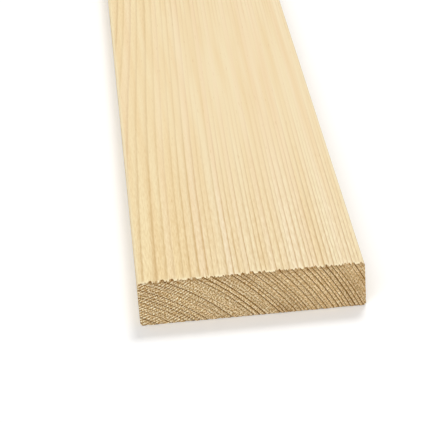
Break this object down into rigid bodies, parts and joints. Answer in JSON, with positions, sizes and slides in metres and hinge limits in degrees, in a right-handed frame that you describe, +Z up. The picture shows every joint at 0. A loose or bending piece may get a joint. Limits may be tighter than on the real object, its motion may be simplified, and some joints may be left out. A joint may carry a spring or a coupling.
{
  "type": "planed timber plank",
  "caption": "Planed softwood plank: a long flat board with eased long edges and square crosscut ends, raw stock for shelves, cladding and joinery.",
  "frame": {"origin": "middle of the wide face that the plank lies on", "axes": "+X across the width, +Y along the length from the near crosscut end to the far one, +Z up through the thickness"},
  "size_m": [0.095, 0.9, 0.02],
  "materials": {
    "planed_softwood": "matte"
  },
  "bodies": {
    "root": {"plank": "planed_softwood"}
  },
  "joints": []
}
